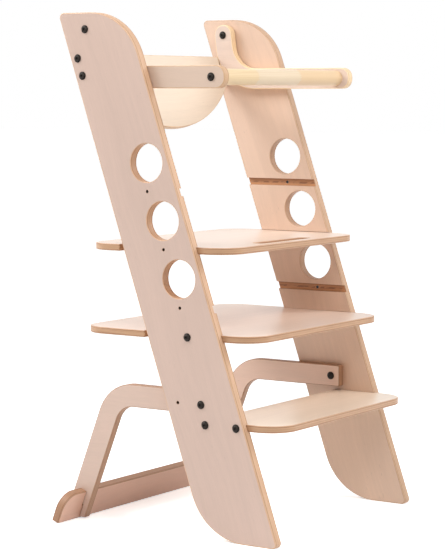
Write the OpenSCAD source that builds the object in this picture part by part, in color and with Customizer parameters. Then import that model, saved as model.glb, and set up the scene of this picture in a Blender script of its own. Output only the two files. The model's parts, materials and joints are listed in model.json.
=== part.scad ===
// Learning tower: two leaning plywood side panels carry a fixed bottom step, a fixed middle step and a
// platform that slides into one of three pairs of grooves. A backrest board ties the panels at the top.
// A safety bar swings over on two pivot bolts, and a bent leg frame behind folds on two more.
// Side views are drawn as [y, z]: y runs from front to rear, z runs up from the floor.

/* [Overall] */
// Height of the side panels above the floor
tower_h = 900; // [800:1:1000]
// Width over the outer faces of the two side panels
tower_w = 466; // [420:1:520]
// Angle at which the side panels lean back from upright
lean = 19; // [16:0.5:20]

/* [Side panels] */
// Thickness of a side panel
panel_t = 18; // [16:0.5:21]
// Width of a side panel, square to its long edges
panel_w = 140; // [130:1:150]
// Radius of the large curves at the top front and the bottom rear
panel_curve_r = 110; // [90:1:125]
// Radius of the two small corners
panel_corner_r = 8; // [3:1:14]
// Diameter of the round grip holes
grip_hole_d = 67; // [55:1:72]
// Distance from the panel's front edge to the centres of the grip holes
grip_hole_inset = 44.5; // [40:0.5:60]
// Diameter of the plain holes that take a lock screw
lock_hole_d = 5.6; // [4:0.1:6.5]
// Distance from the panel's front edge to the lock holes in the grooves
lock_hole_inset = 58.6; // [50:0.1:80]

/* [Grooves] */
// Height of the top groove's middle above the floor
top_groove_z = 591.5; // [580:0.5:600]
// Spacing of the grooves
groove_pitch = 98.5; // [92:0.5:102]
// Number of grooves that the platform can use
groove_count = 3; // [2:1:3]
// Groove, counted from the top, that holds the platform
platform_groove = 1; // [0:1:2]
// Height of a groove that the platform slides in
groove_h = 13; // [12.8:0.1:14]
// Depth of the grooves
groove_depth = 6; // [4:0.5:8]

/* [Steps] */
// Thickness of the steps and the platform
step_t = 12; // [10:0.5:12.4]
// Overhang of the two fixed steps in front of the panels, at half their thickness
step_front = 66; // [55:1:75]
// Overhang of the platform in front of the panels, at half its thickness
platform_front = 64; // [55:1:75]
// Radius of the rounded step corners
step_corner_r = 50; // [35:1:60]
// Overhang of the platform behind the panels
platform_rear = 84; // [70:1:110]
// Overhang of the middle step behind the panels
middle_rear = 148; // [120:1:160]
// Distance that the bottom step's rear edge stays inside the panels' rear edges
bottom_inset = 62; // [55:1:75]
// Gap between the middle step's shoulders and the panels
middle_shoulder_gap = 3.6; // [0.3:0.1:8]
// Gap between the platform's shoulders and the panels, which lets it push in further
platform_shoulder_gap = 5.8; // [0.3:0.1:8]
// Small radius on the shoulders
shoulder_r = 2; // [1:0.5:4]
// Length of the hand slot in the platform
hand_slot_l = 170; // [120:1:200]
// Width of the hand slot in the platform
hand_slot_w = 24; // [18:1:30]
// Distance from the platform's front edge to the middle of the hand slot
hand_slot_inset = 33; // [28:1:40]
// Distance from the panel's front edge to the middle step's bolt
middle_bolt_inset = 60.1; // [50:0.1:80]
// Distance from the panel's front edge to the bottom step's front bolt
bottom_bolt_inset = 14; // [12:0.1:20]
// Spacing of the bottom step's two bolts on each side
bottom_bolt_gap = 63; // [50:0.5:66]

/* [Backrest] */
// Thickness of the backrest board
backrest_t = 12; // [10:0.5:15]
// Height of the backrest board at its middle, along the lean
backrest_l = 140; // [120:1:160]
// Height of its straight ends, along the lean
backrest_end_l = 48; // [46:1:60]
// Distance of its top front edge below the tops of the panels
backrest_drop = 70; // [62:1:78]
// Distance from its rear face to the panels' rear edges
backrest_inset = 9; // [4:0.5:12]
// Distance from its top edge to the upper bolt, along the lean
backrest_bolt_inset = 8; // [7:0.5:10]
// Spacing of its two bolts on each side
backrest_bolt_gap = 32; // [28:1:33]

/* [Safety bar] */
// Thickness of the bar's two arms
arm_t = 15; // [12:0.5:18]
// Width of the arms
arm_w = 38.5; // [36:0.5:42]
// Distance of the middle of the arms' level part below the tops of the panels
bar_drop = 112.5; // [108:0.5:120]
// Length of the arms' level part, from its front end to the bend
arm_level_l = 208.5; // [190:0.5:230]
// Radius of the arms' bend, at the middle of their width
arm_bend_r = 68; // [60:1:72]
// Angle of the arms' short riser from upright
riser_lean = 8; // [4:0.5:12]
// Length of the riser from the bend to the pivot
riser_l = 25; // [22:0.5:30]
// Radius of the corners at the arms' front ends
arm_end_r = 17.5; // [10:0.5:17.5]
// Diameter of the round rail
rail_d = 28; // [25:0.5:34]
// Distance from the arms' front ends to the middle of the rail
rail_inset = 27; // [20:0.5:30]

/* [Leg frame] */
// Thickness of the two legs
leg_t = 15; // [12:0.5:18]
// Width of the legs
leg_w = 40; // [36:1:44]
// Height of the leg pivot above the floor
leg_pivot_z = 231.5; // [228:0.5:240]
// Distance from the panel's front edge to the leg pivot
leg_pivot_inset = 70.5; // [66:0.5:74]
// Distance from the leg pivot back to the lock hole
leg_lock_gap = 48; // [40:0.5:55]
// Distance from the pivot to the leg's front end
leg_end_l = 18; // [15:0.5:19]
// Distance from the pivot to the bend, where the leg's two middle lines cross
leg_reach = 198; // [180:1:205]
// Angle of the leg's lower limb from upright
leg_lean = 21.3; // [19:0.1:24]
// Radius of the leg's bend, at the middle of its width
leg_bend_r = 58; // [45:1:70]
// Radius of the corners at the leg's front end
leg_corner_r = 3; // [2:0.5:5]
// Gap between the legs and the floor
leg_floor_gap = 2.5; // [1:0.5:4]
// Length of the foot board
foot_l = 544; // [480:1:580]
// Height of the foot board along its own face
foot_w = 54; // [45:1:60]
// Thickness of the foot board
foot_t = 15; // [12:0.5:18]
// Radius of the foot board's upper corners
foot_corner_r = 30; // [20:1:40]

/* [Fasteners] */
// Diameter of the bolts' shanks
bolt_d = 6; // [5:0.5:6]
// Diameter of the bolts' flanged heads
head_d = 14.4; // [12:0.1:15.5]
// Height of the bolts' heads
head_h = 3.3; // [3:0.1:4]
// Width across the flats of the hexagonal sockets
socket_w = 4; // [3:0.5:4]
// Depth of the hexagonal sockets
socket_l = 2; // [1.5:0.1:2.2]
// Outer diameter of the threaded inserts
insert_d = 8; // [7.5:0.1:9]
// Length of the threaded inserts
insert_l = 18; // [14:1:22]
// Depth left free behind an insert
insert_relief = 2; // [1:0.5:4]
// Outer diameter of the sleeve nuts' barrels
sleeve_d = 9; // [8:0.1:10]
// Distance that a sleeve nut's barrel stays inside the panel's outer face
sleeve_inset = 2; // [1:0.5:4]
// Thickness of the solid end of a sleeve nut's barrel
sleeve_web = 3; // [2:0.5:4]
// Outer diameter of the pivot washers
washer_d = 24; // [18:1:28]
// Thickness of the pivot washers
washer_t = 1; // [0.5:0.1:1.5]

/* [Fits] */
// Radial clearance of a pivot bore on its sleeve nut
pivot_fit = 0.05; // [0.02:0.01:0.1]
// Clearance between pieces that are fixed together
seat_fit = 0.2; // [0.1:0.05:0.3]
// Gap between pieces that move past each other
running_gap = 0.3; // [0.3:0.05:0.5]
// Radial clearance of a bolt in its hole
bolt_fit = 0.25; // [0.1:0.05:0.5]
// Radial clearance of a thread
thread_fit = 0.05; // [0.02:0.01:0.1]

/* [Hidden] */
$fn = 96;

ply = [0.87, 0.75, 0.66];
step_ply = [0.93, 0.82, 0.74];
cream_ply = [0.96, 0.87, 0.77];
rail_pine = [0.93, 0.80, 0.60];
black_steel = [0.10, 0.09, 0.09];
bare_steel = [0.70, 0.70, 0.68];
white_nylon = [0.90, 0.90, 0.88];

// Extra radius that makes a rounding arc cross the two edges it joins, where it would only touch them
arc_overlap = 0.002;

// Distance that cutting shapes run past the faces they open
overcut = 1;

panel_depth = panel_w / cos(lean);
panel_x = tower_w / 2 - panel_t;
groove_x = panel_x + groove_depth;
step_x = groove_x - running_gap;

middle_z = top_groove_z - 2.5 * groove_pitch;
bottom_z = top_groove_z - 4 * groove_pitch;
platform_z = top_groove_z - platform_groove * groove_pitch - groove_h / 2 + running_gap;

backrest_front = panel_w - backrest_inset - backrest_t;
backrest_top_z = tower_h - backrest_drop;

arm_gap = washer_t + running_gap;
bar_z = tower_h - bar_drop;
bend_z = bar_z + arm_bend_r;
bend_y = lean_y(backrest_front - running_gap - arm_bend_r - arm_w / 2, bend_z);
bar_pivot = [
    bend_y + arm_bend_r * cos(riser_lean) + riser_l * sin(riser_lean),
    bend_z - arm_bend_r * sin(riser_lean) + riser_l * cos(riser_lean)
];
arm_front_y = bend_y - arm_level_l;
rail_pos = [arm_front_y + rail_inset, bar_z];

leg_pivot = [lean_y(leg_pivot_inset, leg_pivot_z), leg_pivot_z];
leg_lock = [leg_pivot.x + leg_lock_gap, leg_pivot.y];
leg_turn = 90 - leg_lean;
leg_vertex = leg_pivot + [leg_reach, 0];
leg_heel_y = leg_vertex.x + (leg_w / 2) / cos(leg_lean) + (leg_pivot_z - leg_floor_gap) * tan(leg_lean);
foot_front_y = leg_vertex.x + leg_pivot_z * tan(leg_lean) - (foot_t / 2) / cos(leg_lean);

step_front_y = bottom_z * tan(lean) - step_front;
origin_y = (step_front_y + leg_heel_y) / 2;

// Position, front to rear, of a point that lies a given way behind the panels' leaning front edges
function lean_y(inset, z) = inset / cos(lean) + z * tan(lean);

function unit(v) = v / norm(v);

// Height of the middle of a groove, counted from the top
function groove_z(i) = top_groove_z - i * groove_pitch;

// Sliver between a corner and the arc that rounds it
module corner_sliver(v, before, after, r) {
    a = unit(before - v);
    b = unit(after - v);
    half = acos(a * b) / 2;
    centre = unit(a + b) * r / sin(half);
    translate(v) difference() {
        polygon([-0.1 * centre, a * r / tan(half), b * r / tan(half)]);
        translate(centre) circle(r = r + arc_overlap);
    }
}

// Outline with true arcs: positive radii round outer corners, negative radii fill inner corners
module rounded_outline(pts, radii) {
    n = len(pts);
    difference() {
        union() {
            polygon(pts);
            for (i = [0 : n - 1]) if (radii[i] < 0)
                corner_sliver(pts[i], pts[(i + n - 1) % n], pts[(i + 1) % n], -radii[i]);
        }
        for (i = [0 : n - 1]) if (radii[i] > 0)
            corner_sliver(pts[i], pts[(i + n - 1) % n], pts[(i + 1) % n], radii[i]);
    }
}

// Side view extruded across the tower, starting at x
module across(x, t) {
    translate([x, -origin_y, 0]) rotate([90, 0, 90]) linear_extrude(t) children();
}

// Round bar or hole across the tower, starting at x
module bar_across(x, l, d, pos) {
    translate([x, pos.x - origin_y, pos.y]) rotate([0, 90, 0]) cylinder(d = d, h = l);
}

module both_sides() {
    children();
    mirror([1, 0, 0]) children();
}

// Side panels

module panel_outline() {
    top_y = tower_h * tan(lean);
    rounded_outline(
        [[0, 0], [panel_depth, 0], [panel_depth + top_y, tower_h], [top_y, tower_h]],
        [panel_corner_r, panel_curve_r, panel_corner_r, panel_curve_r]
    );
}

module groove_outline(z, h, rear_y) {
    front_y = -panel_depth;
    translate([front_y, z - h / 2]) square([rear_y - front_y, h]);
}

// Left side panel; the right one is its mirror image
module side_panel() {
    rear_y = 2 * (panel_depth + tower_h * tan(lean));
    fixed_h = step_t + 2 * seat_fit;
    difference() {
        across(-tower_w / 2, panel_t) difference() {
            panel_outline();
            for (i = [0 : groove_count - 1]) {
                hole_z = groove_z(i) + groove_pitch / 2;
                translate([lean_y(grip_hole_inset, hole_z), hole_z]) circle(d = grip_hole_d);
                translate([lean_y(lock_hole_inset, groove_z(i)), groove_z(i)]) circle(d = lock_hole_d);
            }
            translate(leg_lock) circle(d = lock_hole_d);
            for (p = concat(backrest_bolt_pos(), [middle_bolt_pos()], bottom_bolt_pos()))
                translate(p) circle(d = bolt_d + 2 * bolt_fit);
            for (p = [bar_pivot, leg_pivot])
                translate(p) circle(d = sleeve_d + 2 * seat_fit);
        }
        for (i = [0 : groove_count - 1])
            across(-groove_x, groove_depth + panel_t) groove_outline(groove_z(i), groove_h, rear_y);
        across(-groove_x, groove_depth + panel_t) groove_outline(middle_z, fixed_h, rear_y);
        across(-groove_x, groove_depth + panel_t)
            groove_outline(bottom_z, fixed_h, bottom_rear_y() + seat_fit);
    }
}

module left_side_panel() {
    color(ply) side_panel();
}

module right_side_panel() {
    color(ply) mirror([1, 0, 0]) side_panel();
}

// Backrest

// Places a piece drawn as [x, up the lean], with its front face on the backrest's front plane
module on_backrest() {
    translate([0, lean_y(backrest_front, backrest_top_z) - origin_y, backrest_top_z])
        rotate([90 - lean, 0, 0]) translate([0, 0, -backrest_t]) children();
}

// Side view position of a point on the board's middle plane, a given way below its top edge
function backrest_mid(down) = [
    lean_y(backrest_front, backrest_top_z) + backrest_t / 2 * cos(lean) - down * sin(lean),
    backrest_top_z - backrest_t / 2 * sin(lean) - down * cos(lean)
];

function backrest_bolt_pos() = [
    backrest_mid(backrest_bolt_inset), backrest_mid(backrest_bolt_inset + backrest_bolt_gap)
];

module backrest_board() {
    half_w = panel_x - seat_fit;
    curve_l = backrest_l - backrest_end_l;
    curve_r = (half_w * half_w + curve_l * curve_l) / (2 * curve_l);
    color(cream_ply) difference() {
        on_backrest() linear_extrude(backrest_t) intersection() {
            translate([-half_w, -backrest_l]) square([2 * half_w, backrest_l]);
            translate([0, curve_r - backrest_l]) circle(r = curve_r, $fn = 192);
        }
        both_sides() for (p = backrest_bolt_pos()) insert_hole(-half_w, p);
    }
}

// Steps

function bottom_rear_y() = bottom_z * tan(lean) + panel_depth - bottom_inset;

function middle_bolt_pos() = [lean_y(middle_bolt_inset, middle_z), middle_z];

function bottom_bolt_pos() = [
    for (i = [0, 1]) [lean_y(bottom_bolt_inset, bottom_z) + i * bottom_bolt_gap, bottom_z]
];

// Plan of a step that is let into the panels and widens behind them
module shouldered_plan(z, front, rear, gap) {
    mid_y = (z + step_t / 2) * tan(lean);
    front_y = mid_y - front;
    rear_y = mid_y + panel_depth + rear;
    neck_y = (z + step_t) * tan(lean) + panel_depth + gap;
    wide_x = tower_w / 2;
    rounded_outline(
        [
            [-step_x, front_y], [step_x, front_y], [step_x, neck_y], [wide_x, neck_y],
            [wide_x, rear_y], [-wide_x, rear_y], [-wide_x, neck_y], [-step_x, neck_y]
        ],
        [
            step_corner_r, step_corner_r, -shoulder_r, shoulder_r,
            step_corner_r, step_corner_r, shoulder_r, -shoulder_r
        ]
    );
}

// Step lying level with its underside at z
module level_board(z) {
    translate([0, -origin_y, z]) linear_extrude(step_t) children();
}

module platform() {
    front_y = (platform_z + step_t / 2) * tan(lean) - platform_front;
    slot_x = (hand_slot_l - hand_slot_w) / 2;
    color(step_ply) difference() {
        level_board(platform_z) difference() {
            shouldered_plan(platform_z, platform_front, platform_rear, platform_shoulder_gap);
            translate([0, front_y + hand_slot_inset]) {
                square([2 * slot_x, hand_slot_w], center = true);
                for (x = [-slot_x, slot_x]) translate([x, 0]) circle(d = hand_slot_w);
            }
        }
        both_sides()
            bar_across(-step_x - overcut, insert_l + overcut, lock_hole_d,
                [lean_y(lock_hole_inset, groove_z(platform_groove)), groove_z(platform_groove)]);
    }
}

module middle_step() {
    color(step_ply) difference() {
        level_board(middle_z - step_t / 2)
            shouldered_plan(middle_z - step_t / 2, step_front, middle_rear, middle_shoulder_gap);
        both_sides() insert_hole(-step_x, middle_bolt_pos());
    }
}

module bottom_step() {
    rear_y = bottom_rear_y();
    color(step_ply) difference() {
        level_board(bottom_z - step_t / 2) rounded_outline(
            [[-step_x, step_front_y], [step_x, step_front_y], [step_x, rear_y], [-step_x, rear_y]],
            [step_corner_r, step_corner_r, 0, 0]
        );
        both_sides() for (p = bottom_bolt_pos()) insert_hole(-step_x, p);
    }
}

// Safety bar

module arm_outline() {
    half = arm_w / 2;
    turn = 90 - riser_lean;
    vertex = [bend_y + arm_bend_r * tan(turn / 2), bar_z];
    corner = half * [tan(turn / 2), -1];
    side = half * [cos(riser_lean), -sin(riser_lean)];
    rounded_outline(
        [
            [arm_front_y, bar_z - half], vertex + corner, bar_pivot + side,
            bar_pivot - side, vertex - corner, [arm_front_y, bar_z + half]
        ],
        [arm_end_r, arm_bend_r + half, 0, 0, half - arm_bend_r, arm_end_r]
    );
    translate(bar_pivot) circle(d = arm_w + 2 * arc_overlap);
}

// Left arm; the right one is its mirror image
module bar_arm() {
    across(-panel_x + arm_gap, arm_t) difference() {
        arm_outline();
        translate(bar_pivot) circle(d = sleeve_d + 2 * pivot_fit);
        translate(rail_pos) circle(d = bolt_d + 2 * bolt_fit);
    }
}

module left_bar_arm() {
    color(ply) bar_arm();
}

module right_bar_arm() {
    color(ply) mirror([1, 0, 0]) bar_arm();
}

module bar_rail() {
    end_x = panel_x - arm_gap - arm_t;
    color(rail_pine) difference() {
        bar_across(-end_x, 2 * end_x, rail_d, rail_pos);
        both_sides() insert_hole(-end_x, rail_pos);
    }
}

// Leg frame

module leg_outline() {
    half = leg_w / 2;
    corner = half * [tan(leg_turn / 2), 1];
    outer = leg_vertex + corner;
    inner = leg_vertex - corner;
    run = tan(leg_lean);
    end_y = leg_pivot.x - leg_end_l;
    rounded_outline(
        [
            [end_y, outer.y], [end_y, inner.y], inner,
            [inner.x + (inner.y - leg_floor_gap) * run, leg_floor_gap],
            [outer.x + (outer.y - leg_floor_gap) * run, leg_floor_gap], outer
        ],
        [leg_corner_r, leg_corner_r, half - leg_bend_r, 0, 0, leg_bend_r + half]
    );
}

// Places a piece drawn as [x, up the leg's lower limb], with its front face on the foot board's front plane
module on_foot_board() {
    translate([0, foot_front_y - origin_y, 0])
        rotate([90 + leg_lean, 0, 0]) translate([0, 0, -foot_t]) children();
}

// Left leg; the lower half of its crossing with the foot board is cut away
module rear_leg() {
    slot_l = foot_w / 2 + seat_fit / 2;
    difference() {
        across(-panel_x + arm_gap, leg_t) difference() {
            leg_outline();
            translate(leg_pivot) circle(d = sleeve_d + 2 * pivot_fit);
        }
        on_foot_board() translate([-tower_w / 2, -foot_w, -seat_fit])
            cube([tower_w, foot_w + slot_l, foot_t + 2 * seat_fit]);
    }
}

module left_rear_leg() {
    color(ply) rear_leg();
}

module right_rear_leg() {
    color(ply) mirror([1, 0, 0]) rear_leg();
}

// Foot board; the upper half of its crossing with each leg is cut away
module foot_board() {
    leg_x = panel_x - arm_gap;
    half_l = foot_l / 2;
    notch_l = foot_w / 2;
    color(ply) on_foot_board() linear_extrude(foot_t) difference() {
        rounded_outline(
            [[-half_l, 0], [half_l, 0], [half_l, foot_w], [-half_l, foot_w]],
            [0, 0, foot_corner_r, foot_corner_r]
        );
        for (x = [-leg_x - seat_fit, leg_x - leg_t - seat_fit])
            translate([x, foot_w - notch_l]) square([leg_t + 2 * seat_fit, foot_w]);
    }
}

// Fasteners

// Hole for a threaded insert, opening at x on the left side
module insert_hole(x, pos) {
    bar_across(x - overcut, insert_l + insert_relief + overcut, insert_d + 2 * thread_fit, pos);
}

// Threaded insert whose mouth is at x on the left side
module insert(x, pos) {
    difference() {
        bar_across(x, insert_l, insert_d, pos);
        bar_across(x - overcut, insert_l + 2 * overcut, bolt_d + 2 * thread_fit, pos);
    }
}

// Flanged round head lying against a face at z = 0, with a hexagonal socket
module bolt_head() {
    dome_d = 0.78 * head_d;
    flange_h = 0.3 * head_h;
    dome_h = head_h - flange_h;
    dome_r = (dome_d * dome_d / 4 + dome_h * dome_h) / (2 * dome_h);
    difference() {
        union() {
            cylinder(d = head_d, h = flange_h);
            rotate_extrude() intersection() {
                translate([0, flange_h]) square([dome_d / 2, dome_h]);
                translate([0, head_h - dome_r]) circle(r = dome_r);
            }
        }
        translate([0, 0, head_h - socket_l])
            cylinder(d = socket_w / cos(30), h = socket_l + overcut, $fn = 6);
    }
}

// Bolt put in from the left, with its head against the face at x
module bolt(x, l, pos) {
    translate([x, pos.x - origin_y, pos.y]) rotate([0, -90, 0]) bolt_head();
    bar_across(x, l, bolt_d, pos);
}

// Sleeve nut put in from inside the tower, against a piece whose inner face is at x
module sleeve_nut(x, pos) {
    barrel_l = x + tower_w / 2 - sleeve_inset;
    difference() {
        union() {
            translate([x, pos.x - origin_y, pos.y]) rotate([0, 90, 0]) bolt_head();
            bar_across(x - barrel_l, barrel_l, sleeve_d, pos);
        }
        bar_across(x - barrel_l - overcut, barrel_l - sleeve_web + overcut, bolt_d + 2 * thread_fit, pos);
    }
}

module pivot_washer(pos) {
    difference() {
        bar_across(-panel_x, washer_t, washer_d, pos);
        bar_across(-panel_x - overcut, washer_t + 2 * overcut, sleeve_d + 2 * seat_fit, pos);
    }
}

module bar_pivot_bolts() {
    color(black_steel) both_sides() bolt(-tower_w / 2, panel_t + arm_t / 2, bar_pivot);
}

module bar_pivot_sleeve_nuts() {
    color(black_steel) both_sides() sleeve_nut(-panel_x + arm_gap + arm_t + running_gap, bar_pivot);
}

module bar_pivot_washers() {
    color(white_nylon) both_sides() pivot_washer(bar_pivot);
}

module leg_pivot_bolts() {
    color(black_steel) both_sides() bolt(-tower_w / 2, panel_t + leg_t / 2, leg_pivot);
}

module leg_pivot_sleeve_nuts() {
    color(black_steel) both_sides() sleeve_nut(-panel_x + arm_gap + leg_t + running_gap, leg_pivot);
}

module leg_pivot_washers() {
    color(white_nylon) both_sides() pivot_washer(leg_pivot);
}

module backrest_bolts() {
    color(black_steel) both_sides() for (p = backrest_bolt_pos())
        bolt(-tower_w / 2, panel_t + seat_fit + insert_l, p);
}

module backrest_inserts() {
    color(bare_steel) both_sides() for (p = backrest_bolt_pos()) insert(-panel_x + seat_fit, p);
}

module middle_step_bolts() {
    color(black_steel) both_sides()
        bolt(-tower_w / 2, tower_w / 2 - step_x + insert_l, middle_bolt_pos());
}

module middle_step_inserts() {
    color(bare_steel) both_sides() insert(-step_x, middle_bolt_pos());
}

module bottom_step_bolts() {
    color(black_steel) both_sides() for (p = bottom_bolt_pos())
        bolt(-tower_w / 2, tower_w / 2 - step_x + insert_l, p);
}

module bottom_step_inserts() {
    color(bare_steel) both_sides() for (p = bottom_bolt_pos()) insert(-step_x, p);
}

module rail_bolts() {
    color(black_steel) both_sides() bolt(-panel_x + arm_gap, arm_t + insert_l, rail_pos);
}

module rail_inserts() {
    color(bare_steel) both_sides() insert(-panel_x + arm_gap + arm_t, rail_pos);
}

left_side_panel();
right_side_panel();
backrest_board();
bottom_step();
middle_step();
platform();
left_bar_arm();
right_bar_arm();
bar_rail();
left_rear_leg();
right_rear_leg();
foot_board();
bar_pivot_bolts();
bar_pivot_sleeve_nuts();
bar_pivot_washers();
leg_pivot_bolts();
leg_pivot_sleeve_nuts();
leg_pivot_washers();
backrest_bolts();
backrest_inserts();
middle_step_bolts();
middle_step_inserts();
bottom_step_bolts();
bottom_step_inserts();
rail_bolts();
rail_inserts();
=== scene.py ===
import json
from math import cos, pi, radians, sin

import bmesh
import bpy
from mathutils import Matrix, Vector
from mathutils.bvhtree import BVHTree

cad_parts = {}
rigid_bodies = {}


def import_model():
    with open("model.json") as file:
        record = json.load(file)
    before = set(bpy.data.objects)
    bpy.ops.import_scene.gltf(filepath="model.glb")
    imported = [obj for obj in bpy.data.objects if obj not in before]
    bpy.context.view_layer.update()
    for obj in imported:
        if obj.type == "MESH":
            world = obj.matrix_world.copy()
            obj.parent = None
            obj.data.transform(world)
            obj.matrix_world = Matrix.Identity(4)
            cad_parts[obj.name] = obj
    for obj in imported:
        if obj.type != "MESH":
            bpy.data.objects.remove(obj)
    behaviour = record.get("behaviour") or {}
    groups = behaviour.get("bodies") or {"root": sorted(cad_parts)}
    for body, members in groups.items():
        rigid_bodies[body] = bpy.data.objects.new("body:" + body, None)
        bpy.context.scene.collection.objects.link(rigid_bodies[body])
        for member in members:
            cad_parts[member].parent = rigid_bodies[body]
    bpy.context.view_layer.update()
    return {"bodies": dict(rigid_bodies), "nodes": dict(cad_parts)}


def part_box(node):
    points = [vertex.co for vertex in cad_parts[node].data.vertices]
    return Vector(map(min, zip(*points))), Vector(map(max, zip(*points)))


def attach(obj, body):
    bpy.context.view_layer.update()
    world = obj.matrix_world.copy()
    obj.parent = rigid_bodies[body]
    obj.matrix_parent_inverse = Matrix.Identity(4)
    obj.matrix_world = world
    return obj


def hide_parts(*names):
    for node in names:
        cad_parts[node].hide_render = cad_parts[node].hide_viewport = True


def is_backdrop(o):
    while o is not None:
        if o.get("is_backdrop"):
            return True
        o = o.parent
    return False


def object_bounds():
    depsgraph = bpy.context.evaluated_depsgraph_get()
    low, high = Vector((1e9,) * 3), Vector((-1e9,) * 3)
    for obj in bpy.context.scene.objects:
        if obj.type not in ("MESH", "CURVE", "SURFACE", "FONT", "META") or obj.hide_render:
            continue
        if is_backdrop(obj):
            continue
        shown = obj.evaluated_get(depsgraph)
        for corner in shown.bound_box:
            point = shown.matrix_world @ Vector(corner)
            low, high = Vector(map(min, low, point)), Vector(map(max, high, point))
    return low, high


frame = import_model()


# Side panels
# Two panels of 18 mm birch plywood, cut by router to one leaning outline with grip holes and dado grooves.
# Their face grain runs up the lean. The edges are sanded round and the boards have a clear satin lacquer.

PANEL_LEAN = radians(19)
PANEL_THICKNESS = 0.018
PANEL_PLIES = 9
PANEL_MIDDLE_X = 0.224
PANEL_EDGE_EASE = 0.0020
# Both panels are one plywood. The right panel's face is painted lighter than the left's, as painted light for
# the light that falls on its inner side. Its edges are a little darker than the left's.
PANEL_FACE = {"left": (0.655, 0.482, 0.402), "right": (0.775, 0.562, 0.432)}
PANEL_EDGE = {"left": (0.720, 0.470, 0.300), "right": (0.650, 0.430, 0.280)}
END_GRAIN_SHARE = (0.53, 0.36, 0.25)
GROOVE_BROWN = (0.680, 0.340, 0.165)
# Near black painted into the walls of small bores, as painted shade.
PAINTED_BORE_SHADE = (0.02, 0.01, 0.006)
LACQUER_SPECULAR = 0.40
LACQUER_GLOSS = 0.20
LACQUER_ROUGHNESS = 0.28
GRAIN_STRENGTH = 0.12
GRAIN_DEPTH = 0.0004

# The kinds of cut surface, and the sizes by which each is told from the others
SAWN_EDGE, FACE_VENEER, GROOVE_FLOOR, BORE_WALL, SHADED_RECESS_WALL = range(5)
SMALL_BORE = 0.010
LARGEST_HOLE = 0.080
SHALLOWEST_GROOVE = 0.0005
WITHIN_ONE_GROOVE = 0.030
LOOK_ASIDE = radians(50)
JUST_CLEAR = 0.00002

# How the edges are found and rounded: grip holes and lesser edges get a share of the board's rounding
MERGE_DISTANCE = 0.000002
FLAT_ANGLE = radians(0.4)
SHARP_ANGLE = radians(35)
SMOOTH_ANGLE = radians(40)
SQUARE_ON_COSINE = 0.9995
FULL_DEPTH_SHARE = 0.98
SHARP_EDGE_SHARE = 0.15
HOLE_EDGE_SHARE = 0.60
ROUNDING_STEPS = 3


def set_value(tree, value, socket):
    if isinstance(value, bpy.types.NodeSocket):
        tree.links.new(value, socket)
    elif value is not None:
        socket.default_value = value


def maths(tree, operation, a, b=None, c=None, clamp=False):
    node = tree.nodes.new("ShaderNodeMath")
    node.operation = operation
    node.use_clamp = clamp
    for socket, value in zip(node.inputs, (a, b, c)):
        set_value(tree, value, socket)
    return node.outputs[0]


def squared(tree, value):
    return maths(tree, "MULTIPLY", value, value)


def off_from(tree, value, level):
    """How far the value is from a level, either way."""
    return maths(tree, "ABSOLUTE", maths(tree, "SUBTRACT", value, level))


def equals(tree, value, whole):
    """1 where the value is that whole number, and 0 elsewhere."""
    return maths(tree, "COMPARE", value, whole, 0.5)


def weighted_sum(tree, terms, clamp=False):
    """Adds value times weight over all the terms."""
    total = 0.0
    for value, weight in terms:
        total = maths(tree, "MULTIPLY_ADD", value, weight, total)
    return maths(tree, "ADD", total, 0.0, clamp=True) if clamp else total


def blend_colour(tree, how_far, first, second):
    node = tree.nodes.new("ShaderNodeMix")
    node.data_type = "RGBA"
    set_value(tree, how_far, node.inputs["Factor"])
    set_value(tree, first, node.inputs[6])
    set_value(tree, second, node.inputs[7])
    return node.outputs[2]


def blend_value(tree, how_far, first, second):
    node = tree.nodes.new("ShaderNodeMix")
    set_value(tree, how_far, node.inputs["Factor"])
    set_value(tree, first, node.inputs[2])
    set_value(tree, second, node.inputs[3])
    return node.outputs[0]


def step_between(tree, value, zero_at, one_at):
    """0 where the value is at zero_at or beyond, 1 at one_at or beyond, and a smooth step between them."""
    node = tree.nodes.new("ShaderNodeMapRange")
    node.interpolation_type = "SMOOTHSTEP"
    set_value(tree, value, node.inputs["Value"])
    node.inputs["From Min"].default_value = zero_at
    node.inputs["From Max"].default_value = one_at
    return node.outputs["Result"]


def split_xyz(tree, vector):
    node = tree.nodes.new("ShaderNodeSeparateXYZ")
    tree.links.new(vector, node.inputs[0])
    return node.outputs


def streaks(tree, x, y, shift, along, across, detail):
    """Noise round 0, drawn out along the first axis: along and across are its scales per metre."""
    place = tree.nodes.new("ShaderNodeCombineXYZ")
    set_value(tree, maths(tree, "MULTIPLY", x, along), place.inputs[0])
    set_value(tree, maths(tree, "MULTIPLY", y, across), place.inputs[1])
    set_value(tree, shift, place.inputs[2])
    noise = tree.nodes.new("ShaderNodeTexNoise")
    noise.inputs["Scale"].default_value = 1.0
    noise.inputs["Detail"].default_value = detail
    noise.inputs["Roughness"].default_value = 0.55
    tree.links.new(place.outputs[0], noise.inputs["Vector"])
    return maths(tree, "SUBTRACT", noise.outputs["Fac"], 0.5)


def open_group(name, inputs, outputs):
    tree = bpy.data.node_groups.new(name, "ShaderNodeTree")
    for label, kind, value in inputs:
        socket = tree.interface.new_socket(name=label, in_out="INPUT", socket_type=kind)
        if value is not None:
            socket.default_value = value
    for label, kind in outputs:
        tree.interface.new_socket(name=label, in_out="OUTPUT", socket_type=kind)
    return tree, tree.nodes.new("NodeGroupInput").outputs, tree.nodes.new("NodeGroupOutput").inputs


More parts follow.
